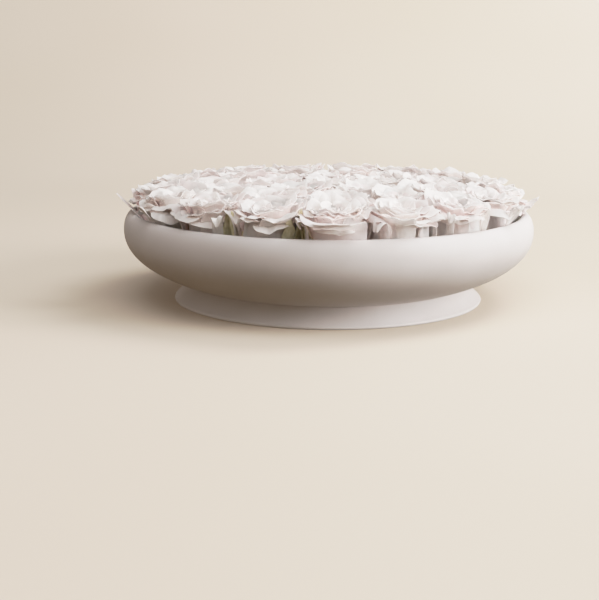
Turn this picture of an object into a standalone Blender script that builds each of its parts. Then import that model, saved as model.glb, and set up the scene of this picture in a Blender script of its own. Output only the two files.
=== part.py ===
"""Low footed ceramic bowl packed with white roses.

The bowl is one fired piece, turned about Z: a rounded belly, a foot that flares
out under it, and a hollow inside. A block of dry floral foam lies on its floor,
with one plain upright hole for each rose. Every rose is one grown piece: a cut
stem, a hip, and petals in layers. The roses stand in a centre, two inner rings
and an outer ring that leans out over the rim.

Metres, +Z up. The origin is at the middle of the foot, on the table.
"""

import math
import random

import bmesh
import bpy
from mathutils import Matrix, Vector

# Driving dimensions of the bowl
BELLY_RADIUS = 0.180
BELLY_HEIGHT = 0.0637
RIM_RADIUS = 0.1715
RIM_HEIGHT = 0.0790
WALL = 0.0060
LIP_RADIUS = 0.0030
NECK_RADIUS = 0.1240
FOOT_RADIUS = 0.1362
FOOT_TREAD = 0.0088
FOOT_BEVEL = 0.0014
FOOT_WALL_LEAN = 0.0090
FLOOR_UNDERSIDE = 0.0070
FLOOR_TOP = FLOOR_UNDERSIDE + WALL

# Points down the flare of the foot, between its neck and its bevelled edge
FOOT_FLARE = ((0.1270, 0.0112), (0.1332, 0.0048), (0.1356, 0.0028))

# Turned pieces: how many sides they have, and how near the axis a point is on it
TURNED_STEPS = 56
AXIS_MERGE = 0.00005

# Below its widest line the belly is a quarter of a superellipse
BELLY_REACH = 0.2045
BELLY_DROP = 0.0641
BELLY_POWER = 2.215

# Driving dimensions of the foam and of the holes in it
FOAM_TOP = 0.0580
FOAM_GAP = 0.0005
HOLE_RADIUS = 0.0030
HOLE_DEPTH = 0.0215
HOLE_SIDES = 6

# Driving dimensions of a rose, measured up from the underside of its hip
SEAT_GAP = 0.0004
STEM_LENGTH = 0.0200
STEM_RADIUS = 0.0022
STEM_SIDES = 5
LEAN_HEIGHT = 0.0140
LIP_HEIGHT = 0.0335
HEART_HEIGHT = 0.0420

# A petal's lip swells and rises towards its middle, and one edge laps outside
# the next petal. Shares are of the lip's radius, and rises are in metres.
PETAL_NOTCH = 0.12
PETAL_OVERLAP = 0.12
PETAL_DIP = 0.0050
PETAL_BLUNTNESS = 0.6

# How far single petals and whole roses stray from the common size
PETAL_SIZE_SPREAD = 0.05
PETAL_HEIGHT_SPREAD = 0.0018
ROSE_SIZE_SPREAD = 0.04
FIRST_SEED = 100

# Each rose keeps inside its own cell: the walls stand half way to its
# neighbours, and the petals press against them softly
NEIGHBOUR_REACH = 0.11
CELL_GAP = 0.0003
PRESS_POWER = 7

# Over the rim the petals stay inside a 45 degree cone that clears the lip
RIM_CONE = 0.0904

# Rings of roses: how many, how far out their stems stand, how far they lean
# out in degrees, where the first one is, and how much the crown lifts them
RINGS = (
    {"count": 1, "radius": 0.0, "lean": 0.0, "first": 0.0, "lift": 0.0030},
    {"count": 5, "radius": 0.0465, "lean": 3.0, "first": 20.0, "lift": 0.0022},
    {"count": 11, "radius": 0.0935, "lean": 5.0, "first": 12.0, "lift": 0.0012},
    {"count": 17, "radius": 0.1405, "lean": 8.0, "first": -88.0, "lift": 0.0},
)

# The skin of one rose as rings of points, from its hip to its heart: radius,
# height, petals in the layer, the points across each petal as shares of its
# width, the layer's turn in petals, and how much of a lip the petals have there
SKIN = (
    (0.0065, 0.0030, 5, (0.0, 0.5), 0.0, 0.0),
    (0.0160, 0.0085, 5, (0.0, 0.5), 0.0, 0.2),
    (0.0258, 0.0190, 5, (0.0, 0.33, 0.67), 0.0, 0.4),
    (0.0335, 0.0325, 5, (0.0, 0.30, 0.65, 0.96), 0.0, 1.0),
    (0.0294, 0.0357, 5, (0.0, 0.30, 0.65, 0.96), 0.0, 0.8),
    (0.0208, 0.0290, 5, (0.0, 0.5), 0.5, 0.2),
    (0.0235, 0.0400, 5, (0.0, 0.5, 0.94), 0.5, 0.9),
    (0.0196, 0.0418, 5, (0.0, 0.5, 0.94), 0.5, 0.7),
    (0.0128, 0.0365, 4, (0.0, 0.5), 0.2, 0.2),
    (0.0134, 0.0452, 4, (0.0, 0.5, 0.92), 0.2, 0.6),
    (0.0070, 0.0405, 2, (0.0, 0.35, 0.7), 0.6, 0.2),
    (0.0064, 0.0470, 2, (0.0, 0.3, 0.6, 0.9), 0.6, 0.8),
)

CERAMIC_WHITE = (0.80, 0.78, 0.76, 1.0)
PETAL_WHITE = (0.86, 0.84, 0.83, 1.0)
FOAM_GREEN = (0.16, 0.21, 0.10, 1.0)


def clear_scene():
    """Takes away whatever the scene starts with."""
    for obj in list(bpy.data.objects):
        bpy.data.objects.remove(obj)


def new_collection(name, hidden=False):
    """A collection in the scene; a hidden one holds cutters."""
    collection = bpy.data.collections.new(name)
    collection.hide_render = hidden
    bpy.context.scene.collection.children.link(collection)
    return collection


def plain_material(name, colour, roughness):
    """A Principled BSDF of one colour."""
    material = bpy.data.materials.new(name)
    material.use_nodes = True
    shader = material.node_tree.nodes["Principled BSDF"]
    shader.inputs["Base Color"].default_value = colour
    shader.inputs["Roughness"].default_value = roughness
    shader.inputs["Metallic"].default_value = 0.0
    return material


def add_object(name, mesh, collection, material=None):
    """An object for a mesh, in its collection, with its material."""
    obj = bpy.data.objects.new(name, mesh)
    collection.objects.link(obj)
    if material:
        mesh.materials.append(material)
    return obj


def belly_curve(inset, from_share, to_share, steps):
    """Points down the belly from its widest line, on a superellipse inset by a
    wall's thickness. A share of 0 is the widest line, and 1 the axis."""
    middle = BELLY_RADIUS - BELLY_REACH
    points = []
    for step in range(steps + 1):
        angle = (from_share + (to_share - from_share) * step / steps) * math.pi / 2
        across = math.cos(angle) ** (2 / BELLY_POWER)
        down = math.sin(angle) ** (2 / BELLY_POWER)
        radius = middle + (BELLY_REACH - inset) * across
        points.append((radius, BELLY_HEIGHT - (BELLY_DROP - inset) * down))
    return points


def belly_share_at_radius(radius, inset):
    """How far down the belly curve it reaches this radius."""
    across = (radius - BELLY_RADIUS + BELLY_REACH) / (BELLY_REACH - inset)
    return math.acos(across ** (BELLY_POWER / 2)) / (math.pi / 2)


def belly_share_at_height(height, inset):
    """How far down the belly curve it reaches this height."""
    down = (BELLY_HEIGHT - height) / (BELLY_DROP - inset)
    return math.asin(down ** (BELLY_POWER / 2)) / (math.pi / 2)


def shoulder_curve(rim_radius, rim_height, belly_radius, steps):
    """Points from the rim down towards the widest line, on a quarter ellipse."""
    points = []
    for step in range(steps):
        angle = step / steps * math.pi / 2
        radius = rim_radius + (belly_radius - rim_radius) * math.sin(angle)
        height = BELLY_HEIGHT + (rim_height - BELLY_HEIGHT) * math.cos(angle)
        points.append((radius, height))
    return points


def lip_curve(angles):
    """Points over the rounded lip, from its inner edge to its top."""
    points = []
    for angle in angles:
        turn = math.radians(angle)
        radius = RIM_RADIUS - LIP_RADIUS * math.cos(turn)
        points.append((radius, RIM_HEIGHT - LIP_RADIUS * (1 - math.sin(turn))))
    return points


def turned(name, profile, collection, material=None):
    """A solid turned about Z. Its profile starts and ends on the axis, and runs
    down the outer side."""
    mesh = bpy.data.meshes.new(name)
    points = [(radius, 0.0, height) for radius, height in profile]
    edges = [(i, i + 1) for i in range(len(points) - 1)]
    mesh.from_pydata(points, edges, [])
    obj = add_object(name, mesh, collection, material)
    screw = obj.modifiers.new("turn", "SCREW")
    screw.steps = TURNED_STEPS
    screw.render_steps = TURNED_STEPS
    screw.use_merge_vertices = True
    screw.merge_threshold = AXIS_MERGE
    screw.use_smooth_shade = True
    return obj


def foam_wall():
    """Points up the inner wall from the flat of the floor to the foam's top."""
    floor_share = belly_share_at_height(FLOOR_TOP, WALL)
    foam_share = belly_share_at_height(FOAM_TOP - FOAM_GAP, WALL)
    return belly_curve(WALL, floor_share, foam_share, steps=5)


def make_bowl(collection, material):
    """The footed bowl: up the inside of the hollow, over the lip, down the
    belly and the flared foot, and up under the hollow of the foot."""
    mouth = (RIM_RADIUS - LIP_RADIUS, RIM_HEIGHT - LIP_RADIUS)
    inner_shoulder = shoulder_curve(*mouth, BELLY_RADIUS - WALL, steps=3)
    hollow = [(0.0, FLOOR_TOP)] + foam_wall() + [(BELLY_RADIUS - WALL, BELLY_HEIGHT)]
    hollow += inner_shoulder[::-1]
    neck_share = belly_share_at_radius(NECK_RADIUS, 0.0)
    outside = lip_curve((30, 60))
    outside += shoulder_curve(RIM_RADIUS, RIM_HEIGHT, BELLY_RADIUS, steps=4)
    outside += belly_curve(0.0, 0.0, neck_share, steps=8)
    tread = FOOT_RADIUS - FOOT_TREAD
    foot = [
        *FOOT_FLARE,
        (FOOT_RADIUS, FOOT_BEVEL),
        (FOOT_RADIUS - FOOT_BEVEL, 0.0),
        (tread, 0.0),
        (tread - FOOT_BEVEL, FOOT_BEVEL),
    ]
    under_foot = belly_share_at_radius(tread - FOOT_WALL_LEAN, 0.0)
    under_floor = belly_share_at_height(FLOOR_UNDERSIDE, 0.0)
    underside = belly_curve(0.0, under_foot, under_floor, steps=2)
    profile = hollow + outside + foot + underside + [(0.0, FLOOR_UNDERSIDE)]
    return turned("bowl", profile, collection, material)


def rose_places():
    """Where each rose stands: its stem's foot, its lean and the point over
    which its head is centred, with one seeded random source for its petals."""
    places = []
    for ring in RINGS:
        for number in range(ring["count"]):
            angle = math.radians(ring["first"] + 360 * number / ring["count"])
            outward = Vector((math.cos(angle), math.sin(angle), 0.0))
            lean = math.radians(ring["lean"])
            foot = outward * ring["radius"] + Vector((0.0, 0.0, FOAM_TOP + SEAT_GAP))
            reach = (LIP_HEIGHT - LEAN_HEIGHT / 2) * math.tan(lean)
            source = random.Random(FIRST_SEED + len(places))
            places.append({
                "name": f"rose_{len(places) + 1:02d}",
                "foot": foot,
                "outward": outward,
                "lean": lean,
                "lift": ring["lift"],
                "centre": foot + outward * reach,
                "random": source,
                "spin": source.random(),
            })
    return places


def cell_walls(place, places):
    """The walls of a rose's cell: a direction to each near neighbour, and how
    far the wall stands from the rose's centre that way."""
    walls = []
    for other in places:
        apart = (other["centre"] - place["centre"]).xy
        if 0.0 < apart.length < NEIGHBOUR_REACH:
            walls.append((apart.normalized(), apart.length / 2 - CELL_GAP))
    return walls


def pressed_share(distance, limit):
    """What is left of a distance that is eased down to stay under its limit."""
    return (1 + (distance / limit) ** PRESS_POWER) ** (-1 / PRESS_POWER)


def kept_in_cell(point, place, walls):
    """A petal's point drawn in towards the head's centre line until it clears
    its cell's walls and the bowl's lip."""
    offset = (point - place["centre"]).xy
    share = 1.0
    for direction, limit in walls:
        towards = offset.dot(direction)
        if towards > 0.0:
            share = min(share, pressed_share(towards, limit))
    offset *= share
    past_rim = (place["centre"].xy + offset).length - (point.z + RIM_CONE)
    if past_rim > 0.0:
        offset *= 1 - past_rim / offset.dot(place["outward"].xy)
    return Vector((*(place["centre"].xy + offset), point.z))


def skin_rings(place):
    """The rings of one rose's skin about its own upright axis, each a list of
    turn and point. Every petal has its own size, shared by all its rings, and
    each edge laps outside the next petal's."""
    source = place["random"]
    size = 1 + ROSE_SIZE_SPREAD * source.uniform(-1, 1)
    petals = {}
    rings = []
    for radius, height, count, shares, layer_turn, lip in SKIN:
        ring = []
        for petal in range(count):
            own = petals.setdefault(
                (layer_turn, petal), (source.uniform(-1, 1), source.uniform(-1, 1))
            )
            for share in shares:
                turn = (petal + share + layer_turn) / count
                swell = math.sin(math.pi * share) ** PETAL_BLUNTNESS - 0.5
                lap = share - 0.5
                wide = PETAL_NOTCH * swell + PETAL_OVERLAP * lap + PETAL_SIZE_SPREAD * own[0]
                rise = height + lip * (PETAL_DIP * swell + PETAL_HEIGHT_SPREAD * own[1])
                angle = (turn + place["spin"]) * math.tau
                out = radius * size * (1 + lip * wide)
                point = Vector((out * math.cos(angle), out * math.sin(angle), rise))
                ring.append((turn % 1.0, point))
        rings.append(sorted(ring, key=lambda item: item[0]))
    return rings


def leaned(point, place):
    """A point of a rose's own frame in the bowl's frame: above its hip the rose
    turns outward about the foot of its head, by more the higher it is."""
    share = min(1.0, max(0.0, point.z / LEAN_HEIGHT))
    axis = Vector((-place["outward"].y, place["outward"].x, 0.0))
    lifted = point + Vector((0.0, 0.0, place["lift"] * share))
    return place["foot"] + Matrix.Rotation(place["lean"] * share, 3, axis) @ lifted


def stitch(mesh, lower, upper):
    """Triangles between two closed rings that may have unlike counts, taking
    the next point round on whichever ring is behind."""
    low, high = 0, 0
    while low < len(lower) or high < len(upper):
        next_low = lower[(low + 1) % len(lower)][0] + (low + 1) // len(lower)
        next_high = upper[(high + 1) % len(upper)][0] + (high + 1) // len(upper)
        here_low = lower[low % len(lower)][1]
        here_high = upper[high % len(upper)][1]
        if high == len(upper) or (low < len(lower) and next_low <= next_high):
            mesh.faces.new((here_low, lower[(low + 1) % len(lower)][1], here_high))
            low += 1
        else:
            mesh.faces.new((here_low, upper[(high + 1) % len(upper)][1], here_high))
            high += 1


def stem_ring(height, spin):
    """A ring of the cut stem, as turns and points."""
    ring = []
    for side in range(STEM_SIDES):
        turn = side / STEM_SIDES
        angle = (turn + spin) * math.tau
        point = Vector((STEM_RADIUS * math.cos(angle), STEM_RADIUS * math.sin(angle), height))
        ring.append((turn, point))
    return ring


def make_rose(place, places, collection, material):
    """One rose: its stem's cut end, the stem, the hip, and the petals' skin up
    and down over each layer's lip to the heart."""
    walls = cell_walls(place, places)
    mesh = bmesh.new()
    stem = [stem_ring(height, place["spin"]) for height in (-STEM_LENGTH, 0.0)]
    rings = stem + skin_rings(place)
    made = []
    for number, ring in enumerate(rings):
        placed = [leaned(point, place) for _, point in ring]
        if number > 1:
            placed = [kept_in_cell(point, place, walls) for point in placed]
        made.append([(turn, mesh.verts.new(spot)) for (turn, _), spot in zip(ring, placed)])
    for lower, upper in zip(made, made[1:]):
        stitch(mesh, lower, upper)
    mesh.faces.new([vertex for _, vertex in made[0]])
    heart = mesh.verts.new(leaned(Vector((0.0, 0.0, HEART_HEIGHT)), place))
    last = [vertex for _, vertex in made[-1]]
    for first, second in zip(last, last[1:] + last[:1]):
        mesh.faces.new((first, second, heart))
    bmesh.ops.recalc_face_normals(mesh, faces=mesh.faces)
    data = bpy.data.meshes.new(place["name"])
    mesh.to_mesh(data)
    mesh.free()
    return add_object(place["name"], data, collection, material)


def make_foam(places, collection, cutters, material):
    """The foam block: it lies on the bowl's floor, follows the wall a little
    inside it, and has a blind upright hole under each rose."""
    side = [(radius - FOAM_GAP, height + FOAM_GAP) for radius, height in foam_wall()]
    profile = [(0.0, FOAM_TOP)] + side[::-1] + [(0.0, FLOOR_TOP + FOAM_GAP)]
    foam = turned("floral_foam", profile, collection, material)
    for place in places:
        bpy.ops.mesh.primitive_cylinder_add(
            vertices=HOLE_SIDES, radius=HOLE_RADIUS, depth=2 * HOLE_DEPTH
        )
        cutter = bpy.context.active_object
        cutter.name = "hole_" + place["name"]
        cutter.location = (place["foot"].x, place["foot"].y, FOAM_TOP)
        cutter.display_type = "WIRE"
        cutter.hide_render = True
        for linked in list(cutter.users_collection):
            linked.objects.unlink(cutter)
        cutters.objects.link(cutter)
    holes = foam.modifiers.new("holes", "BOOLEAN")
    holes.operation = "DIFFERENCE"
    holes.operand_type = "COLLECTION"
    holes.collection = cutters
    holes.solver = "EXACT"
    return foam


def main():
    clear_scene()
    parts = new_collection("bowl_of_roses")
    cutters = new_collection("cutters", hidden=True)
    ceramic = plain_material("matt_glazed_ceramic", CERAMIC_WHITE, 0.55)
    petal = plain_material("rose_petal", PETAL_WHITE, 0.75)
    foam = plain_material("dry_floral_foam", FOAM_GREEN, 0.95)
    places = rose_places()
    make_bowl(parts, ceramic)
    make_foam(places, parts, cutters, foam)
    for place in places:
        make_rose(place, places, parts, petal)


main()
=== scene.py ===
"""Low footed ceramic bowl packed with white roses, dressed for rendering.

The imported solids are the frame. The bowl is turned again from the same sizes
with many more sides. The foam keeps its solid and gets its own finish. Each
rose gets thin ruffled petals, a stem and sepals in place of its plain solid.

Metres, +Z up. The origin is at the middle of the foot, on the table.
"""

import math

import bpy
import numpy as np
from mathutils import Matrix


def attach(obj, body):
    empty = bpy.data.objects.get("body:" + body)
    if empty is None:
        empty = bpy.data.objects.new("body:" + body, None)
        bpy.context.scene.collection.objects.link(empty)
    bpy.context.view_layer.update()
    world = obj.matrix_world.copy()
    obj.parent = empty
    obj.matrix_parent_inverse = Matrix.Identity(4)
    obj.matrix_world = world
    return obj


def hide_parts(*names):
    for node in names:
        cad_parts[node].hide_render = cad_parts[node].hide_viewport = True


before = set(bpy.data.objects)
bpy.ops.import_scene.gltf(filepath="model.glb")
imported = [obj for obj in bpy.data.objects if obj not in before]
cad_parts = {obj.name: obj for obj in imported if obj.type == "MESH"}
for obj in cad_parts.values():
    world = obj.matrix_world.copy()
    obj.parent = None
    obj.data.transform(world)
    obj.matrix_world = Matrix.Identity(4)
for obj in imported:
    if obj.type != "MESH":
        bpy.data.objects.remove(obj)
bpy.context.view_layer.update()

MM = 0.001

# Sizes of the bowl, the same values as in the part's source
BELLY_RADIUS = 180.0 * MM
BELLY_HEIGHT = 63.7 * MM
RIM_RADIUS = 171.5 * MM
RIM_HEIGHT = 79.0 * MM
WALL = 6.0 * MM
LIP_RADIUS = 3.0 * MM
NECK_RADIUS = 124.0 * MM
FOOT_RADIUS = 136.2 * MM
FOOT_TREAD = 8.8 * MM
FOOT_BEVEL = 1.4 * MM
FOOT_WALL_LEAN = 9.0 * MM
FLOOR_UNDERSIDE = 7.0 * MM
FLOOR_TOP = FLOOR_UNDERSIDE + WALL
# The bevel at the foot's outer edge bulges out to this share of its size
BEVEL_SHARE = 0.3
# The foot's flare, as radius and height, from the neck down
FOOT_FLARE = np.array(((127.0, 11.2), (133.2, 4.8), (135.6, 2.8), (136.2, 1.4))) * MM
# How far in and how far down the belly's curve reaches, and its power
BELLY_REACH = 204.5 * MM
BELLY_DROP = 64.1 * MM
BELLY_POWER = 2.215
BOWL_SIDES = 192

# Where the roses stand, the same values as in the part's source. A rose bends
# outward between the hip's foot and LEAN_HEIGHT, and its head is centred on the
# point that it reaches at LIP_HEIGHT. The rings are in mm and degrees.
HIP_HEIGHT = 58.4 * MM
LEAN_HEIGHT = 14.0 * MM
LIP_HEIGHT = 33.5 * MM
RINGS = (
    {"count": 1, "radius": 0.0, "lean": 0.0, "first": 0.0, "lift": 3.0},
    {"count": 5, "radius": 46.5, "lean": 3.0, "first": 20.0, "lift": 2.2},
    {"count": 11, "radius": 93.5, "lean": 5.0, "first": 12.0, "lift": 1.2},
    {"count": 17, "radius": 140.5, "lean": 8.0, "first": -88.0, "lift": 0.0},
)
# A rose's hip and stem, as radius and height over the hip's foot, from the top
HIP_PROFILE = np.array((
    (0.0, 7.5), (5.0, 6.0), (6.2, 3.2), (5.2, 1.2), (2.2, 0.2), (2.2, -20.0), (0.0, -20.0),
)) * MM
STEM_SIDES = 10

# How petals press on their neighbours and clear the bowl's lip. A rose's cell
# reaches past the middle between two roses by the slack. The cone opens upwards
# at 45 degrees, and its size is its radius at the height of the table.
NEIGHBOUR_REACH = 110.0 * MM
CELL_SLACK = 4.2 * MM
PRESS_POWER = 8
RIM_CONE = 90.9 * MM
# What lies nearer than this to the head's centre line, on the lip's side, is
# drawn in as if it lay so far out
LEAST_REACH = 1.0 * MM

# The petals of two neighbours stand apart here below their folds, and sepals
# show between them. The distance is how far each side is drawn back. A gap
# closes between the two heights.
GAPS = {
    ("rose_18", "rose_34"): 9.0 * MM,
    ("rose_33", "rose_34"): 5.5 * MM,
}
GAP_CLOSES = (86.0 * MM, 98.0 * MM)

# Shares of a petal's length at which its slope is given
SLOPE_KNOTS = (0.0, 0.22, 0.40, 0.60, 0.78, 1.0)
# How much of its extra uprightness a petal has at each of them
UPRIGHT_SHARES = np.array((0.0, 0.0, 0.5, 1.0, 1.0, 1.0))
# An outer petal's knots are all moved by one factor between these two, so that
# some petals fold over sooner and hang lower
FOLD_FACTORS = (0.80, 1.06)
# The spine is worked out in so many steps, and its slope is the mean of so many
# steps to each side
SPINE_STEPS = 60
SPINE_SMOOTHING = 4

# How far single petals vary. The skew is a share of the length, the lap is how
# many mm one side stands over its neighbour, and the others are factors.
VARIES = {
    "half": (0.9, 1.1), "length": (0.96, 1.04), "skew": (-0.08, 0.08),
    "ruffle": (0.7, 1.35), "waves": (0.8, 1.25), "lap": (1.0, 2.2),
}
# A layer starts this share of a turn past the middle between two petals of the
# one outside it, and each petal strays by up to this share of its place
LAYER_TURN = 0.07
PLACE_STRAY = 0.10

# The rows of a petal's grid lie closer together towards its free edge
ROW_POWER = 0.75
# The free edge is shorter at the sides by this share, with this power across
SIDES_SHORTER = 0.20
SIDES_POWER = 3.4
# Ruffles: how many waves lie across a petal, and how high each sort is
RUFFLES = ((1.2, 1.0), (2.1, 0.8), (3.4, 0.45), (4.9, 0.22))
EDGE_RUFFLE = 0.9
SIDE_RUFFLE = 0.5
# One broad swell across and along each petal
SWELL = 0.9 * MM
SWELL_ACROSS = 2.1
SWELL_ALONG = 3.5
# How far the sides of a petal stand out, and the least radius about the axis
SIDE_FLARE = 1.6 * MM
LEAST_RADIUS = 0.8 * MM
# A petal's width: its foot's share, what it gains, how soon, and what it loses
# again at the free edge. A sepal loses its share by its power.
PETAL_FOOT_WIDTH = 0.34
PETAL_WIDENING = 0.66
PETAL_WIDENS_BY = 1.9
PETAL_EDGE_LOSS = 0.16
SEPAL_LOSS = 0.85
SEPAL_POWER = 1.4

# Petal layers from the outermost in. Lengths are in mm, angles in degrees, and
# upright is how much steeper a petal is that faces the bowl's lip.
OUTER_LAYERS = (
    {"count": 5, "base": 6.0, "rise": 2.0, "length": 59.0, "half": 50, "ruffle": 1.7,
     "slopes": (5, 20, 84, 92, 70, -40), "curl": 15, "upright": 20},
    {"count": 5, "base": 5.5, "rise": 3.0, "length": 56.5, "half": 52, "ruffle": 1.6,
     "slopes": (8, 30, 84, 92, 72, -34), "curl": 15, "upright": 16},
    {"count": 4, "base": 5.0, "rise": 4.0, "length": 52.5, "half": 62, "ruffle": 1.5,
     "slopes": (14, 44, 85, 92, 76, -25), "curl": 13, "upright": 11},
)
INNER_LAYERS = (
    {"count": 5, "base": 4.5, "rise": 5.0, "length": 48.0, "half": 58, "ruffle": 1.4,
     "slopes": (24, 56, 86, 92, 78, -18), "curl": 12, "upright": 0},
    {"count": 4, "base": 4.2, "rise": 5.5, "length": 43.8, "half": 66, "ruffle": 1.3,
     "slopes": (38, 67, 87, 92, 82, -4), "curl": 11, "upright": 0},
    {"count": 4, "base": 3.8, "rise": 6.0, "length": 40.5, "half": 72, "ruffle": 1.2,
     "slopes": (52, 76, 88, 92, 85, 10), "curl": 10, "upright": 0},
    {"count": 4, "base": 3.2, "rise": 6.5, "length": 38.0, "half": 76, "ruffle": 1.0,
     "slopes": (62, 82, 89, 93, 88, 24), "curl": 9, "upright": 0},
    {"count": 3, "base": 2.4, "rise": 7.0, "length": 36.0, "half": 84, "ruffle": 0.8,
     "slopes": (72, 86, 90, 94, 90, 44), "curl": 8, "upright": 0},
    {"count": 3, "base": 1.5, "rise": 7.5, "length": 34.0, "half": 90, "ruffle": 0.6,
     "slopes": (80, 88, 91, 95, 94, 76), "curl": 8, "upright": 0},
)
SEPAL_LAYERS = (
    {"count": 6, "base": 5.6, "rise": 1.2, "length": 43.0, "half": 27, "ruffle": 0.6,
     "slopes": (2, 14, 66, 86, 84, 76), "curl": 6, "upright": 0},
)
# What faces the bowl's lip is shorter by this share: petals clear it, and sepals
# stay below it
PETAL_SHORTER = 0.09
SEPAL_SHORTER = 0.55

# Broad sepals that line the gaps, by rose. The way is counted in degrees from
# the rose's way out.
BROAD_SEPAL = {"base": 7.5, "rise": 1.0, "ruffle": 0.8, "slopes": (2, 16, 74, 88, 86, 78)}
LOOSE_SEPALS = {
    "rose_18": (
        BROAD_SEPAL | {"way": -58, "length": 50.0, "half": 54},
        BROAD_SEPAL | {"way": -84, "length": 54.0, "half": 50},
    ),
    "rose_33": (
        BROAD_SEPAL | {"way": 70, "length": 50.0, "half": 34},
    ),
    "rose_34": (
        BROAD_SEPAL | {"way": 56, "length": 50.0, "half": 54},
        BROAD_SEPAL | {"way": 84, "length": 54.0, "half": 50},
        BROAD_SEPAL | {"way": -74, "length": 50.0, "half": 30},
    ),
}

# Single petals that stand out in the photograph, by rose, with their way as for
# the sepals: narrow ones that curl out and down, and wide ones
NARROW_PETAL = {"base": 7.0, "rise": 2.0, "ruffle": 0.9, "slopes": (4, 20, 84, 88, 30, -100)}
WIDE_PETAL = {"base": 6.0, "rise": 2.0, "ruffle": 1.0}
LOOSE_PETALS = {
    "rose_18": (
        WIDE_PETAL | {"way": -2, "length": 62.0, "half": 62, "ruffle": 0.7,
                      "slopes": (4, 20, 84, 92, 56, -44)},
        NARROW_PETAL | {"way": -50, "length": 68.0, "half": 9, "ruffle": 1.0,
                        "slopes": (4, 20, 84, 88, 30, -96)},
    ),
    "rose_19": (
        NARROW_PETAL | {"way": -52, "length": 66.0, "half": 12, "ruffle": 1.6},
        WIDE_PETAL | {"way": -40, "length": 58.0, "half": 38, "base": 7.5,
                      "slopes": (4, 20, 84, 96, 84, -10)},
    ),
    "rose_20": (
        NARROW_PETAL | {"way": -54, "length": 72.0, "half": 6,
                        "slopes": (4, 20, 84, 90, 40, -100)},
    ),
    "rose_21": (
        NARROW_PETAL | {"way": -30, "length": 70.0, "half": 7,
                        "slopes": (4, 20, 84, 90, 40, -100)},
    ),
    "rose_22": (
        WIDE_PETAL | {"way": -8, "length": 54.0, "half": 22,
                      "slopes": (4, 18, 80, 84, 50, 24)},
        WIDE_PETAL | {"way": -38, "length": 53.0, "half": 20, "ruffle": 1.2,
                      "slopes": (4, 18, 80, 80, 40, -8)},
    ),
    "rose_31": (
        WIDE_PETAL | {"way": 6, "length": 64.0, "half": 20,
                      "slopes": (2, 12, 70, 74, 46, 34)},
        WIDE_PETAL | {"way": 34, "length": 60.0, "half": 16,
                      "slopes": (2, 12, 70, 70, 20, -50)},
    ),
    "rose_32": (
        NARROW_PETAL | {"way": 20, "length": 70.0, "half": 7},
    ),
    "rose_33": (
        NARROW_PETAL | {"way": 52, "length": 68.0, "half": 9, "ruffle": 1.0,
                        "slopes": (4, 20, 84, 88, 30, -90)},
    ),
}

# Points along and across each petal
OUTER_GRID = (12, 19)
INNER_GRID = (9, 13)
SEPAL_GRID = (7, 5)
PETAL_THICKNESS = 0.35 * MM
# A normal counts as no shorter than this, so that none is divided by zero
LEAST_NORMAL = 1e-12
# Edges that turn by more degrees than these stay sharp
BOWL_SHARP = 40
PETAL_SHARP = 60
# Each rose draws from a series of its own, counted up from the first seed, and
# the folds of its outer petals from a second series
FIRST_SEED = 700
FOLD_SEED = 6100

# How large the patches of each material's pattern are
CERAMIC_CLOUDS = 45.45 * MM
CERAMIC_GRAIN = 1.25 * MM
PETAL_TINTS = 25.0 * MM
PETAL_ACROSS = 48.0 * MM
VEINS_APART = 1.2 * MM
VEINS_ALONG = 5.0
GREEN_MOTTLE = 3.333 * MM
FOAM_PORES = 1.515 * MM
PAPER_CLOUDS = 714.3 * MM

# Camera fitted to the bowl's outlines: place, downward pitch, yaw, roll and lens
CAMERA_PLACE = (-0.0027, -1.1996, 0.2457)
CAMERA_PITCH = 0.2049
CAMERA_YAW = -0.0187
CAMERA_ROLL = 0.0056
CAMERA_LENS = 81.85

# Square soft lights: place, what each is aimed at, side, power and colour
BOWL_MIDDLE = (0.0, 0.0, 0.06)
BACKDROP_MIDDLE = (0.5, 1.8, 0.7)
LIGHTS = {
    "key": ((1.8, -0.7, 0.75), BOWL_MIDDLE, 1.0, 34, (1.0, 0.99, 0.985)),
    "low": ((1.85, -0.4, 0.14), BOWL_MIDDLE, 0.5, 13, (1.0, 0.99, 0.985)),
    "top": ((0.25, -1.0, 1.6), BOWL_MIDDLE, 1.9, 20, (1.0, 0.99, 0.98)),
    "fill": ((-1.5, -1.3, 0.7), BOWL_MIDDLE, 1.2, 2.8, (1.0, 0.93, 0.84)),
    "backdrop": ((1.3, 0.5, 1.9), BACKDROP_MIDDLE, 1.2, 40, (1.0, 0.99, 0.97)),
}
ROOM_STRENGTH = 0.57
# Light passes between many white petals before it is spent
MOST_BOUNCES = 20
MOST_DIFFUSE_BOUNCES = 16

# How bright each light is shown: the first two rows keep it as it is
BRIGHTEST = 2.0
BRIGHTEST_SHOWN = 0.965
SHOWN = ((0.25, 0.25), (0.5, 0.5), (0.75, 0.665), (1.0, 0.78), (1.5, 0.90))

# The stage reaches this far to the front and the sides, starts to bend up
# behind the bowl, bends with this radius and ends at this height
STAGE_REACH = 9.0
STAGE_BEND_START = 0.7
STAGE_BEND = 1.1
STAGE_TOP = 2.6
STAGE_STEPS = 16

# The colour sockets of a Mix node, by number: two in and one out
MIX_FIRST = 6
MIX_SECOND = 7
MIX_RESULT = 2
# The curve for all three channels together, by number
WHOLE_CURVE = 3


def linear(hex_colour):
    """A colour from its sRGB hex value: each channel is undone from the sRGB curve."""
    channels = [int(hex_colour[i:i + 2], 16) / 255 for i in (1, 3, 5)]
    undone = [c / 12.92 if c <= 0.04045 else ((c + 0.055) / 1.055) ** 2.4 for c in channels]
    return (*undone, 1.0)


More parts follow.
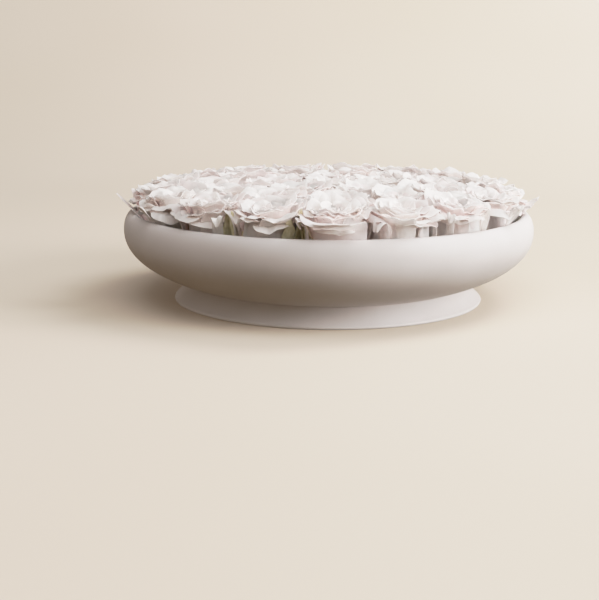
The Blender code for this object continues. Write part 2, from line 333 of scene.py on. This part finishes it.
def belly_curve(inset, from_share, to_share, steps):
    """Points down the belly: a quarter of a superellipse, inset by a wall's
    thickness. A share of 0 is the widest line and 1 the axis."""
    angle = np.linspace(from_share, to_share, steps + 1) * math.pi / 2
    across = np.cos(angle) ** (2 / BELLY_POWER)
    down = np.sin(angle) ** (2 / BELLY_POWER)
    radius = BELLY_RADIUS - BELLY_REACH + (BELLY_REACH - inset) * across
    return np.stack([radius, BELLY_HEIGHT - (BELLY_DROP - inset) * down], axis=-1)


def belly_share_at_radius(radius, inset):
    """How far down the belly curve it reaches this radius: the curve undone."""
    across = (radius - BELLY_RADIUS + BELLY_REACH) / (BELLY_REACH - inset)
    return math.acos(across ** (BELLY_POWER / 2)) / (math.pi / 2)


def belly_share_at_height(height, inset):
    """How far down the belly curve it reaches this height: the curve undone."""
    down = (BELLY_HEIGHT - height) / (BELLY_DROP - inset)
    return math.asin(down ** (BELLY_POWER / 2)) / (math.pi / 2)


def shoulder_curve(rim_radius, rim_height, belly_radius, steps):
    """Points from the rim down to the widest line, on a quarter ellipse."""
    angle = np.linspace(0, math.pi / 2, steps + 1)
    radius = rim_radius + (belly_radius - rim_radius) * np.sin(angle)
    height = BELLY_HEIGHT + (rim_height - BELLY_HEIGHT) * np.cos(angle)
    return np.stack([radius, height], axis=-1)


def lip_curve(steps):
    """Points over the lip's inner side, a quarter circle up to its top."""
    angle = np.linspace(0, math.pi / 2, steps + 1)
    radius = RIM_RADIUS - LIP_RADIUS * np.cos(angle)
    return np.stack([radius, RIM_HEIGHT - LIP_RADIUS * (1 - np.sin(angle))], axis=-1)


def smooth_line(points, steps):
    """A Catmull-Rom curve: between two points a cubic whose slope at each is
    half the step from the point before it to the point after it."""
    before = 2 * points[:1] - points[1:2]
    after = 2 * points[-1:] - points[-2:-1]
    padded = np.concatenate([before, points, after])[:, None]
    t = np.linspace(0, 1, steps, endpoint=False)[None, :, None]
    a, b, c, d = padded[:-3], padded[1:-2], padded[2:-1], padded[3:]
    curve = b + t * (c - a) / 2 + t ** 2 * (a - 2.5 * b + 2 * c - d / 2)
    curve = curve + t ** 3 * (1.5 * (b - c) + (d - a) / 2)
    return np.concatenate([curve.reshape(-1, 2), points[-1:]])


def bowl_profile():
    """The bowl's outline from the axis: up the hollow, over the lip, down the
    belly and the foot's flare, and up under the foot to the axis."""
    mouth = (RIM_RADIUS - LIP_RADIUS, RIM_HEIGHT - LIP_RADIUS)
    hollow = belly_curve(WALL, belly_share_at_height(FLOOR_TOP, WALL), 0.0, steps=36)
    inner_shoulder = shoulder_curve(*mouth, BELLY_RADIUS - WALL, steps=8)[::-1]
    shoulder = shoulder_curve(RIM_RADIUS, RIM_HEIGHT, BELLY_RADIUS, steps=20)
    belly = belly_curve(0.0, 0.0, belly_share_at_radius(NECK_RADIUS, 0.0), steps=48)
    flare = smooth_line(np.concatenate([belly[-1:], FOOT_FLARE]), steps=6)
    tread = FOOT_RADIUS - FOOT_TREAD
    bulge = BEVEL_SHARE * FOOT_BEVEL
    standing = np.array([
        (FOOT_RADIUS - bulge, bulge),
        (FOOT_RADIUS - FOOT_BEVEL, 0.0),
        (tread, 0.0),
        (tread - FOOT_BEVEL, FOOT_BEVEL),
    ])
    under_foot = belly_share_at_radius(tread - FOOT_WALL_LEAN, 0.0)
    under_floor = belly_share_at_height(FLOOR_UNDERSIDE, 0.0)
    underside = belly_curve(0.0, under_foot, under_floor, steps=16)
    return np.concatenate([
        [(0.0, FLOOR_TOP)], hollow, inner_shoulder[1:], lip_curve(steps=8)[1:],
        shoulder[1:], belly[1:], flare[1:], standing, underside, [(0.0, FLOOR_UNDERSIDE)],
    ])


def turned(profile, sides):
    """A profile turned about Z, both ends on the axis. A point at angle a is
    radius times (cos a, sin a). Gives points, quads and the poles' triangles."""
    angle = np.arange(sides) / sides * math.tau
    ring = np.stack([np.cos(angle), np.sin(angle)], axis=-1)
    inner = profile[1:-1]
    flat = inner[:, None, :1] * ring[None]
    height = np.broadcast_to(inner[:, None, 1:], (len(inner), sides, 1))
    grid_points = np.concatenate([flat, height], axis=-1).reshape(-1, 3)
    poles = np.array([(0.0, 0.0, profile[0, 1]), (0.0, 0.0, profile[-1, 1])])
    grid = np.arange(len(inner) * sides).reshape(len(inner), sides)
    after = np.roll(grid, -1, axis=1)
    quads = np.stack([grid[:-1], grid[1:], after[1:], after[:-1]], axis=-1).reshape(-1, 4)
    first = np.full(sides, len(grid_points))
    top = np.stack([first, grid[0], after[0]], axis=-1)
    bottom = np.stack([grid[-1], first + 1, after[-1]], axis=-1)
    return np.concatenate([grid_points, poles]), quads, np.concatenate([top, bottom])


def joined(*solids):
    """Several sets of points, quads and triangles as one set."""
    starts = np.cumsum([0] + [len(solid[0]) for solid in solids[:-1]])
    points = np.concatenate([solid[0] for solid in solids])
    quads = np.concatenate([solid[1] + start for solid, start in zip(solids, starts)])
    triangles = np.concatenate([solid[2] + start for solid, start in zip(solids, starts)])
    return points, quads, triangles


def piece(name, solid, material, uv=None, tone=None, sharp=None):
    """A mesh object at the origin from points, quads and triangles, with a UV
    map and a tone for each point where the material reads them. Edges that
    turn by more degrees than sharp gives stay sharp."""
    points, quads, triangles = solid
    corners = np.concatenate([quads.ravel(), triangles.ravel()]).astype(np.int32)
    quad_starts = np.arange(len(quads)) * 4
    triangle_starts = quads.size + np.arange(len(triangles)) * 3
    starts = np.concatenate([quad_starts, triangle_starts]).astype(np.int32)
    mesh = bpy.data.meshes.new(name)
    mesh.vertices.add(len(points))
    mesh.vertices.foreach_set("co", points.astype(np.float32).ravel())
    mesh.loops.add(len(corners))
    mesh.loops.foreach_set("vertex_index", corners)
    mesh.polygons.add(len(starts))
    mesh.polygons.foreach_set("loop_start", starts)
    mesh.update(calc_edges=True)
    if uv is not None:
        layer = mesh.uv_layers.new(name="petal")
        layer.data.foreach_set("uv", uv[corners].astype(np.float32).ravel())
    if tone is not None:
        attribute = mesh.attributes.new("tone", "FLOAT", "POINT")
        attribute.data.foreach_set("value", tone.astype(np.float32))
    mesh.shade_smooth()
    if sharp is not None:
        mesh.set_sharp_from_angle(angle=math.radians(sharp))
    mesh.materials.append(material)
    obj = bpy.data.objects.new(name, mesh)
    bpy.context.scene.collection.objects.link(obj)
    return obj


def rose_places():
    """Where each rose stands: its stem's foot, its way out and its lean, and
    the point over which its head is centred. The roses of a ring are evenly
    spaced from its first angle. The centre is out from the foot by the tangent
    of the lean, times the head's height over the middle of the bend."""
    places = []
    for ring in RINGS:
        for number in range(ring["count"]):
            angle = math.radians(ring["first"] + 360 * number / ring["count"])
            outward = np.array([math.cos(angle), math.sin(angle)])
            lean = math.radians(ring["lean"])
            foot = outward * ring["radius"] * MM
            reach = (LIP_HEIGHT - LEAN_HEIGHT / 2) * math.tan(lean)
            places.append({
                "node": f"rose_{len(places) + 1:02d}",
                "foot": foot,
                "way_out": angle,
                "outward": outward,
                "lean": lean,
                "lift": ring["lift"] * MM,
                "centre": foot + outward * reach,
            })
    return places


def one_petal(kind, turn, curl, source):
    """The sizes of a single petal of some kind, each varied a little. The turn
    is about the rose's axis. Each ruffle has a phase, and the swell has two."""
    phases = len(RUFFLES) + 2
    return {
        "turn": turn,
        "half": math.radians(kind["half"]) * source.uniform(*VARIES["half"]),
        "base": kind["base"] * MM,
        "rise": kind["rise"] * MM,
        "length": kind["length"] * MM * source.uniform(*VARIES["length"]),
        "slopes": np.radians(kind["slopes"]),
        "curl": math.radians(curl),
        "skew": source.uniform(*VARIES["skew"]),
        "ruffle": kind["ruffle"] * MM * source.uniform(*VARIES["ruffle"]),
        "phases": source.uniform(0, math.tau, phases),
        "waves": source.uniform(*VARIES["waves"], phases),
        "lap": source.uniform(*VARIES["lap"]) * MM,
        "tone": source.random(),
        "fold": 1.0,
    }


def loose_petals(kinds, place, source):
    """The petals or sepals that a rose is given one by one."""
    return [
        one_petal(kind, place["way_out"] + math.radians(kind["way"]), 0.0, source)
        for kind in kinds.get(place["node"], ())
    ]


def layer_petals(layers, turn, shorter, source, place):
    """The petals in some layers, and the turn at which the next layer inside
    them starts. How far a petal faces the bowl's lip is the cosine of its turn
    from the rose's way out, times the share of the rose's lean in the largest
    one. By as much it is steeper and shorter."""
    petals = []
    leaning = math.degrees(place["lean"]) / RINGS[-1]["lean"]
    for layer in layers:
        turn += 0.5 / layer["count"] + LAYER_TURN
        for number in range(layer["count"]):
            stray = source.uniform(-PLACE_STRAY, PLACE_STRAY)
            own_turn = (turn + (number + stray) / layer["count"]) * math.tau
            facing = math.cos(own_turn - place["way_out"]) * leaning
            petal = one_petal(layer, own_turn, source.normal(0, layer["curl"]), source)
            petal["slopes"] += np.radians(layer["upright"]) * facing * UPRIGHT_SHARES
            petal["length"] *= 1 - shorter * max(facing, 0.0)
            petals.append(petal)
    return petals, turn


def petal_width(along):
    """A petal's width as a share of its widest, along its length: a sine rises
    from the foot to the full width, and the cube of the way narrows the edge."""
    risen = np.sin(np.clip(along * PETAL_WIDENS_BY, 0, math.pi / 2))
    return PETAL_FOOT_WIDTH + PETAL_WIDENING * risen - PETAL_EDGE_LOSS * along ** 3


def sepal_width(along):
    """A sepal's width as a share of its foot's: it tapers to a blunt point."""
    return 1.0 - SEPAL_LOSS * along ** SEPAL_POWER


def petal_spines(petals):
    """Each petal's slope in fine steps, and how far it has come out and up.

    The slope runs through the kind's values, at knots that the fold's factor
    moves, the curl bends it further by the cube of the way, and it is smoothed.
    Out and up are the running sums of its cosine and its sine."""
    fine = np.linspace(0, 1, SPINE_STEPS + 1)
    knots = np.array(SLOPE_KNOTS) * petals["fold"][:, None]
    slope = np.stack([np.interp(fine, *pair) for pair in zip(knots, petals["slopes"])])
    slope = slope + petals["curl"][:, None] * fine[None] ** 3
    padded = np.pad(slope, ((0, 0), (SPINE_SMOOTHING, SPINE_SMOOTHING)), mode="edge")
    starts = range(2 * SPINE_SMOOTHING + 1)
    slope = np.stack([padded[:, i:i + SPINE_STEPS + 1] for i in starts]).mean(axis=0)
    step = petals["length"][:, None] / SPINE_STEPS
    zero = np.zeros((len(slope), 1))
    out = np.concatenate([zero, np.cumsum(np.cos(slope[:, :-1]) * step, axis=1)], axis=1)
    up = np.concatenate([zero, np.cumsum(np.sin(slope[:, :-1]) * step, axis=1)], axis=1)
    return slope, out, up


def petal_surfaces(petals, grid, width_along):
    """Middle surfaces of petals, on a grid along and across each one.

    Across a petal its spine is turned about the rose's axis. It is shorter
    towards the sides, so the outline is round, and by the skew longer on one
    side. Sums of sines are pushed along the surface's own normal and ruffle it,
    by the fourth power of the way to the free edge and the cube of the way to
    the sides. The sides flare out, and one of them laps over."""
    petals = {key: np.array([petal[key] for petal in petals]) for key in petals[0]}
    rows, columns = grid
    across = np.linspace(-1, 1, columns)[None, None, :]
    along = (np.linspace(0, 1, rows) ** ROW_POWER)[None, :, None]
    size = {key: value[:, None, None] for key, value in petals.items() if value.ndim == 1}
    phases = petals["phases"][:, None, None, :]
    waves = petals["waves"][:, None, None, :]
    share = along * (1 - SIDES_SHORTER * np.abs(across) ** SIDES_POWER + size["skew"] * across)

    spine, out, up = petal_spines(petals)
    at = np.broadcast_to(share * SPINE_STEPS, (len(spine), rows, columns))
    low = np.clip(at.astype(int), 0, SPINE_STEPS - 1)
    part = at - low
    petal = np.arange(len(spine))[:, None, None]
    radius = out[petal, low] * (1 - part) + out[petal, low + 1] * part + size["base"]
    height = up[petal, low] * (1 - part) + up[petal, low + 1] * part + size["rise"]
    slope = spine[petal, low] * (1 - part) + spine[petal, low + 1] * part

    side = np.abs(across) ** 3 * along ** 1.5
    wavy = 0.0
    for number, (turns, swing) in enumerate(RUFFLES):
        angle = across * turns * math.pi * waves[..., number] + phases[..., number]
        wavy = wavy + swing * np.sin(angle)
    ruffle = size["ruffle"] * wavy * (EDGE_RUFFLE * share ** 4 + SIDE_RUFFLE * side)
    swell_across = np.sin(across * SWELL_ACROSS + phases[..., -2])
    swell_along = np.sin(share * SWELL_ALONG + phases[..., -1])
    push = ruffle + SWELL * (swell_across * swell_along) * along
    lap = size["lap"] * across * along
    radius = radius + np.sin(slope) * push + SIDE_FLARE * side + lap
    height = height - np.cos(slope) * push

    angle = size["turn"] + size["half"] * across * width_along(along)
    radius = np.maximum(radius, LEAST_RADIUS)
    return np.stack([radius * np.cos(angle), radius * np.sin(angle), height], axis=-1)


def leaned(points, place):
    """Points of a rose's own frame in the bowl's frame: above its hip the rose
    turns outward about the foot of its head, by more the higher it is."""
    share = np.clip(points[..., 2] / LEAN_HEIGHT, 0, 1)
    turn = place["lean"] * share
    outward = place["outward"]
    sideways = np.array([-outward[1], outward[0]])
    out = points[..., :2] @ outward
    level = points[..., :2] @ sideways
    up = points[..., 2] + place["lift"] * share
    turned_out = out * np.cos(turn) + up * np.sin(turn)
    turned_up = up * np.cos(turn) - out * np.sin(turn)
    flat = place["foot"] + turned_out[..., None] * outward + level[..., None] * sideways
    return np.concatenate([flat, turned_up[..., None] + HIP_HEIGHT], axis=-1)


def kept_in_cell(points, place, places, gaps):
    """Points drawn in towards the head's centre line, so that the petals press
    softly on their neighbours' and stay inside a cone that clears the lip. At t
    of the way to the side of its cell a point's reach is divided by the p-th
    root of 1 + t to the p. A gap brings the side nearer, by less and less up to
    where it closes. What is past the cone is drawn in by how far it is past."""
    offset = points[..., :2] - place["centre"]
    share = np.ones(points.shape[:-1])
    below, above = GAP_CLOSES
    opened = 1 - np.clip((points[..., 2] - below) / (above - below), 0, 1)
    for other in places:
        apart = other["centre"] - place["centre"]
        distance = np.hypot(*apart)
        if 0 < distance < NEIGHBOUR_REACH:
            pair = tuple(sorted((place["node"], other["node"])))
            limit = distance / 2 + CELL_SLACK - gaps.get(pair, 0.0) * opened
            towards = np.maximum(offset @ (apart / distance), 0) / limit
            share = np.minimum(share, (1 + towards ** PRESS_POWER) ** (-1 / PRESS_POWER))
    offset = offset * share[..., None]
    spot = place["centre"] + offset
    past = np.hypot(spot[..., 0], spot[..., 1]) - (points[..., 2] + RIM_CONE)
    towards = np.maximum(offset @ place["outward"], LEAST_REACH)
    offset = offset * (1 - np.clip(past, 0, None) / towards)[..., None]
    return np.concatenate([place["centre"] + offset, points[..., 2:]], axis=-1)


def shells(middle, tones):
    """Closed thin shells round middle surfaces: each is moved half a petal's
    thickness both ways along its normal, and the edges are joined. Gives the
    solid, and a UV place and a tone for each point."""
    count, rows, columns, _ = middle.shape
    normal = np.cross(np.gradient(middle, axis=2), np.gradient(middle, axis=1))
    normal /= np.maximum(np.linalg.norm(normal, axis=-1, keepdims=True), LEAST_NORMAL)
    half = PETAL_THICKNESS / 2
    points = np.stack([middle + normal * half, middle - normal * half], axis=1).reshape(-1, 3)
    grid = np.arange(rows * columns).reshape(rows, columns)
    back = rows * columns
    front = np.stack([grid[:-1, :-1], grid[:-1, 1:], grid[1:, 1:], grid[1:, :-1]], axis=-1)
    front = front.reshape(-1, 4)
    edge = np.concatenate([grid[0, :-1], grid[:-1, -1], grid[-1, :0:-1], grid[:0:-1, 0]])
    after = np.roll(edge, -1)
    rim = np.stack([edge, edge + back, after + back, after], axis=-1)
    quads = np.concatenate([front, front[:, ::-1] + back, rim])
    quads = (quads[None] + np.arange(count)[:, None, None] * 2 * back).reshape(-1, 4)
    across, along = np.meshgrid(np.linspace(0, 1, columns), np.linspace(0, 1, rows))
    uv = np.stack([across, along ** ROW_POWER], axis=-1).reshape(-1, 2)
    uv = np.tile(uv, (2 * count, 1))
    tone = np.repeat(tones, 2 * back)
    return (points, quads, np.zeros((0, 3), dtype=int)), uv, tone


def rose_head(place, places, seed, source, finish):
    """All of a rose's petals as one piece: its outer layers, whose folds vary,
    with the petals listed one by one, and its inner layers on a coarser grid."""
    outer, turn = layer_petals(OUTER_LAYERS, source.random(), PETAL_SHORTER, source, place)
    inner, _ = layer_petals(INNER_LAYERS, turn, 0.0, source, place)
    folds = np.random.default_rng(FOLD_SEED + seed)
    for one in outer:
        one["fold"] = folds.uniform(*FOLD_FACTORS)
    outer += loose_petals(LOOSE_PETALS, place, source)
    parts = []
    for petals, grid in ((outer, OUTER_GRID), (inner, INNER_GRID)):
        middle = leaned(petal_surfaces(petals, grid, petal_width), place)
        shades = np.array([one["tone"] for one in petals])
        parts.append(shells(kept_in_cell(middle, place, places, GAPS), shades))
    solids, uvs, tones = zip(*parts)
    return piece(
        place["node"] + "_petals", joined(*solids), finish,
        np.concatenate(uvs), np.concatenate(tones), sharp=PETAL_SHARP,
    )


def rose_green(place, places, source, finish):
    """A rose's stem and hip, turned about its axis, and its sepals as one piece."""
    points, quads, triangles = turned(HIP_PROFILE, STEM_SIDES)
    stem = (leaned(points, place), quads, triangles)
    sepals, _ = layer_petals(SEPAL_LAYERS, source.random(), SEPAL_SHORTER, source, place)
    sepals += loose_petals(LOOSE_SEPALS, place, source)
    middle = leaned(petal_surfaces(sepals, SEPAL_GRID, sepal_width), place)
    middle = kept_in_cell(middle, place, places, {})
    blades, _, _ = shells(middle, np.zeros(len(sepals)))
    return piece(place["node"] + "_stem", joined(stem, blades), finish, sharp=PETAL_SHARP)


def make_rose(place, places, seed, petal, sepal):
    """A rose's petals, and its stem, hip and sepals, in place of its solid."""
    source = np.random.default_rng(seed)
    head = rose_head(place, places, seed, source, petal)
    green = rose_green(place, places, source, sepal)
    for part, slot in ((head, "petals"), (green, "petals")):
        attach(part, "root")
        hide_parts(place["node"])


def feed(tree, node, inputs):
    """Gives a node its inputs, by socket name or number: a value is set on the
    socket itself, and an output socket is linked to it."""
    for key, value in inputs.items():
        if isinstance(value, bpy.types.NodeSocket):
            tree.links.new(value, node.inputs[key])
        else:
            node.inputs[key].default_value = value


def add(tree, kind, inputs=None, settings=None, stops=()):
    """Adds a node with its inputs: settings are its properties, and stops are
    the shares and colours of a colour ramp."""
    node = tree.nodes.new(kind)
    for key, value in (settings or {}).items():
        setattr(node, key, value)
    for number, (share, colour) in enumerate(stops):
        node.color_ramp.elements[number].position = share
        node.color_ramp.elements[number].color = colour
    feed(tree, node, inputs or {})
    return node


def new_material(name):
    """An empty node material, with its tree and its Principled shader."""
    material = bpy.data.materials.new(name)
    material.use_nodes = True
    tree = material.node_tree
    return material, tree, tree.nodes["Principled BSDF"]


def matte_ceramic():
    """White stoneware, slip cast and fired with a matte glaze: an even chalky
    white with no clear gloss, a faint cloudiness and a fine dry grain."""
    material, tree, shader = new_material("matte_glazed_stoneware")
    place = add(tree, "ShaderNodeTexCoord").outputs["Object"]
    cloud = add(tree, "ShaderNodeTexNoise", {
        "Vector": place, "Scale": 1 / CERAMIC_CLOUDS, "Detail": 4.0,
    })
    colour = add(tree, "ShaderNodeValToRGB", {"Fac": cloud.outputs["Fac"]}, stops=(
        (0.3, linear("#CFCAC9")), (0.7, linear("#D8D3D3")),
    ))
    # the real grain is about 0.3 mm, and is drawn coarser so that it shows
    grain = add(tree, "ShaderNodeTexNoise", {
        "Vector": place, "Scale": 1 / CERAMIC_GRAIN, "Detail": 3.0,
    })
    bump = add(tree, "ShaderNodeBump", {
        "Height": grain.outputs["Fac"], "Strength": 0.12, "Distance": 0.4 * MM,
    })
    feed(tree, shader, {
        "Base Color": colour.outputs["Color"], "Normal": bump.outputs["Normal"],
        "Roughness": 0.62, "IOR": 1.5,
    })
    return material


def rose_petal():
    """Preserved white rose petal, soft and slightly waxy: light goes through
    it, the foot is greenish cream, and faint veins run to a crinkled edge."""
    material, tree, shader = new_material("preserved_white_rose_petal")
    uv = add(tree, "ShaderNodeUVMap", settings={"uv_map": "petal"}).outputs["UV"]
    along = add(tree, "ShaderNodeSeparateXYZ", {"Vector": uv}).outputs["Y"]
    foot = add(tree, "ShaderNodeValToRGB", {"Fac": along}, stops=(
        (0.26, linear("#DEDCB8")), (0.52, linear("#FDF9F7")),
    ))
    place = add(tree, "ShaderNodeTexCoord").outputs["Object"]
    # patches of tint, on some petals more than on others
    patch = add(tree, "ShaderNodeTexNoise", {
        "Vector": place, "Scale": 1 / PETAL_TINTS, "Detail": 2.0,
    })
    tone = add(tree, "ShaderNodeAttribute", settings={"attribute_name": "tone"})
    both = add(tree, "ShaderNodeMath", {
        0: patch.outputs["Fac"], 1: tone.outputs["Fac"],
    }, {"operation": "MULTIPLY"})
    tint = add(tree, "ShaderNodeValToRGB", {"Fac": both.outputs["Value"]}, stops=(
        (0.2, linear("#FFFFFF")), (0.5, linear("#FBF4F5")),
    ))
    blended = add(tree, "ShaderNodeMix", {
        "Factor": 1.0, MIX_FIRST: foot.outputs["Color"], MIX_SECOND: tint.outputs["Color"],
    }, {"data_type": "RGBA", "blend_type": "MULTIPLY"})
    # the UV map runs from 0 to 1 across a petal and along it
    stretched = add(tree, "ShaderNodeMapping", {
        "Vector": uv, "Scale": (PETAL_ACROSS / VEINS_APART, VEINS_ALONG, 1.0),
    })
    vein = add(tree, "ShaderNodeTexNoise", {
        "Vector": stretched.outputs["Vector"], "Scale": 1.0, "Detail": 2.0,
    })
    bump = add(tree, "ShaderNodeBump", {
        "Height": vein.outputs["Fac"], "Strength": 0.25, "Distance": 0.8 * MM,
    })
    feed(tree, shader, {
        "Base Color": blended.outputs[MIX_RESULT], "Normal": bump.outputs["Normal"],
        "Roughness": 0.65, "Sheen Weight": 0.35, "Subsurface Weight": 0.5,
        "Subsurface Radius": (1.0, 0.95, 0.93), "Subsurface Scale": 5.0 * MM,
    })
    return material


def dried_green():
    """Bleached and dried rose stem and sepals: greenish straw, with a fibrous mottle."""
    material, tree, shader = new_material("dried_rose_green")
    place = add(tree, "ShaderNodeTexCoord").outputs["Object"]
    mottle = add(tree, "ShaderNodeTexNoise", {
        "Vector": place, "Scale": 1 / GREEN_MOTTLE, "Detail": 3.0,
    })
    colour = add(tree, "ShaderNodeValToRGB", {"Fac": mottle.outputs["Fac"]}, stops=(
        (0.35, linear("#D8D2AE")), (0.65, linear("#EEE8CE")),
    ))
    feed(tree, shader, {"Base Color": colour.outputs["Color"], "Roughness": 0.75})
    return material


def dry_foam():
    """Dry floral foam, pressed in blocks: dusty green, full of fine open pores."""
    material, tree, shader = new_material("dry_floral_foam")
    place = add(tree, "ShaderNodeTexCoord").outputs["Object"]
    # the real pores are under 0.5 mm, and are drawn coarser so that they show
    pores = add(tree, "ShaderNodeTexVoronoi", {"Vector": place, "Scale": 1 / FOAM_PORES})
    # the colour is darker in the pits that the bump makes: painted shade in the pores, over
    # the foam's own dusty green
    colour = add(tree, "ShaderNodeValToRGB", {"Fac": pores.outputs["Distance"]}, stops=(
        (0.1, linear("#4A5430")), (0.6, linear("#747F4E")),
    ))
    bump = add(tree, "ShaderNodeBump", {
        "Height": pores.outputs["Distance"], "Strength": 0.6, "Distance": 1.0 * MM,
    })
    feed(tree, shader, {
        "Base Color": colour.outputs["Color"], "Normal": bump.outputs["Normal"],
        "Roughness": 0.95,
    })
    return material


def make_stage():
    """A plain sweep of pale matt paper, faintly uneven: a level floor that
    curves up into a backdrop. At angle a of the bend it has gone back by the
    bend's radius times sin a, and up by the radius times 1 - cos a."""
    angle = np.linspace(0, math.pi / 2, STAGE_STEPS + 1)
    bent = STAGE_BEND_START + STAGE_BEND * np.sin(angle)
    depth = np.concatenate([[-STAGE_REACH], bent, [STAGE_BEND_START + STAGE_BEND]])
    height = np.concatenate([[0.0], STAGE_BEND * (1 - np.cos(angle)), [STAGE_TOP]])
    side = np.array([-STAGE_REACH, STAGE_REACH])
    x = np.broadcast_to(side[None], (len(depth), 2))
    y = np.broadcast_to(depth[:, None], (len(depth), 2))
    z = np.broadcast_to(height[:, None], (len(depth), 2))
    points = np.stack([x, y, z], axis=-1).reshape(-1, 3)
    grid = np.arange(len(points)).reshape(-1, 2)
    quads = np.stack([grid[:-1, 0], grid[:-1, 1], grid[1:, 1], grid[1:, 0]], axis=-1)
    material, tree, shader = new_material("pale_studio_paper")
    place = add(tree, "ShaderNodeTexCoord").outputs["Object"]
    cloud = add(tree, "ShaderNodeTexNoise", {
        "Vector": place, "Scale": 1 / PAPER_CLOUDS, "Detail": 2.0,
    })
    colour = add(tree, "ShaderNodeValToRGB", {"Fac": cloud.outputs["Fac"]}, stops=(
        (0.3, linear("#DCCEBD")), (0.7, linear("#E2D5C6")),
    ))
    feed(tree, shader, {"Base Color": colour.outputs["Color"], "Roughness": 0.9})
    sweep = piece("studio_sweep", (points, quads, np.zeros((0, 3), dtype=int)), material)
    # the bowl stands high in the photograph, so the floor throws no light up at it
    sweep.visible_diffuse = False


def stand(name, data, right, up, back, place):
    """Stands a light or a camera at a place, with its axes along right, up and
    back, and gives its object."""
    obj = bpy.data.objects.new(name, data)
    columns = np.stack([right, up, back, np.array(place)], axis=-1)
    obj.matrix_world = Matrix([*columns.tolist(), [0, 0, 0, 1]])
    bpy.context.scene.collection.objects.link(obj)
    return obj


def add_light(name, place, aim, side, power, colour):
    """A square soft light that faces the point it is aimed at: its back is the
    unit vector away from that point, its right is level, and its up is square
    to both."""
    lamp = bpy.data.lights.new(name, "AREA")
    lamp.size = side
    lamp.energy = power
    lamp.color = colour
    away = np.array(place) - np.array(aim)
    back = away / np.linalg.norm(away)
    right = np.cross((0.0, 0.0, 1.0), back)
    right = right / np.linalg.norm(right)
    stand(name, lamp, right, np.cross(back, right), back, place)


def add_camera():
    """The camera at the photograph's place: forward is the yaw's level way
    dipped by the pitch, and right and up are turned by the roll."""
    level = np.array([math.sin(CAMERA_YAW), math.cos(CAMERA_YAW), 0.0])
    upright = np.array([0.0, 0.0, 1.0])
    forward = math.cos(CAMERA_PITCH) * level - math.sin(CAMERA_PITCH) * upright
    up = math.sin(CAMERA_PITCH) * level + math.cos(CAMERA_PITCH) * upright
    right = np.array([math.cos(CAMERA_YAW), -math.sin(CAMERA_YAW), 0.0])
    rolled_right = math.cos(CAMERA_ROLL) * right + math.sin(CAMERA_ROLL) * up
    rolled_up = math.cos(CAMERA_ROLL) * up - math.sin(CAMERA_ROLL) * right
    view = bpy.data.cameras.new("camera")
    view.lens = CAMERA_LENS
    camera = stand("camera", view, rolled_right, rolled_up, -forward, CAMERA_PLACE)
    bpy.context.scene.camera = camera


def light_studio():
    """A large key from the right with a small low light under it, a soft top
    light, a weak fill from the left, and a light of its own for the backdrop,
    in a dim warm room."""
    for name, light in LIGHTS.items():
        add_light(name, *light)
    world = bpy.data.worlds.new("room")
    world.use_nodes = True
    tree = world.node_tree
    way = add(tree, "ShaderNodeTexCoord").outputs["Generated"]
    parts = add(tree, "ShaderNodeSeparateXYZ", {"Vector": way}).outputs
    # below the bowl the room is brown, and pale on the key's side
    below = add(tree, "ShaderNodeValToRGB", {"Fac": parts["X"]}, stops=(
        (0.3, linear("#7A5E38")), (0.75, linear("#FFF0D8")),
    ))
    # round about it is beige, and overhead it is neutral
    above = add(tree, "ShaderNodeValToRGB", {"Fac": parts["Z"]}, stops=(
        (0.1, linear("#C8B39C")), (0.7, linear("#C6C3C2")),
    ))
    # the one gives way to the other just over the horizon
    height = add(tree, "ShaderNodeValToRGB", {"Fac": parts["Z"]}, stops=(
        (0.0, linear("#000000")), (0.3, linear("#FFFFFF")),
    ))
    room = add(tree, "ShaderNodeMix", {
        "Factor": height.outputs["Color"], MIX_FIRST: below.outputs["Color"],
        MIX_SECOND: above.outputs["Color"],
    }, {"data_type": "RGBA"})
    feed(tree, tree.nodes["Background"], {
        "Color": room.outputs[MIX_RESULT], "Strength": ROOM_STRENGTH,
    })
    bpy.context.scene.world = world
    bpy.context.scene.cycles.max_bounces = MOST_BOUNCES
    bpy.context.scene.cycles.diffuse_bounces = MOST_DIFFUSE_BOUNCES


def soften_highlights():
    """The photograph's soft shoulder: light up to 0.5 is kept, and the part
    above it is pressed together, so that white petals don't burn out."""
    view = bpy.context.scene.view_settings
    view.view_transform = "Standard"
    view.use_curve_mapping = True
    view.curve_mapping.white_level = (BRIGHTEST, BRIGHTEST, BRIGHTEST)
    curve = view.curve_mapping.curves[WHOLE_CURVE]
    curve.points[1].location = (1.0, BRIGHTEST_SHOWN)
    for light, shown in SHOWN:
        curve.points.new(light / BRIGHTEST, shown)
    view.curve_mapping.update()


add_camera()
light_studio()
soften_highlights()
make_stage()

bowl_solid = turned(bowl_profile(), BOWL_SIDES)
bowl = piece("bowl_turned", bowl_solid, matte_ceramic(), sharp=BOWL_SHARP)
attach(bowl, "root")
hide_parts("bowl")

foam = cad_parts["floral_foam"]
foam.data.materials.clear()
foam.data.materials.append(dry_foam())

petal_finish = rose_petal()
green_finish = dried_green()
all_places = rose_places()
for number, place in enumerate(all_places):
    make_rose(place, all_places, FIRST_SEED + number, petal_finish, green_finish)
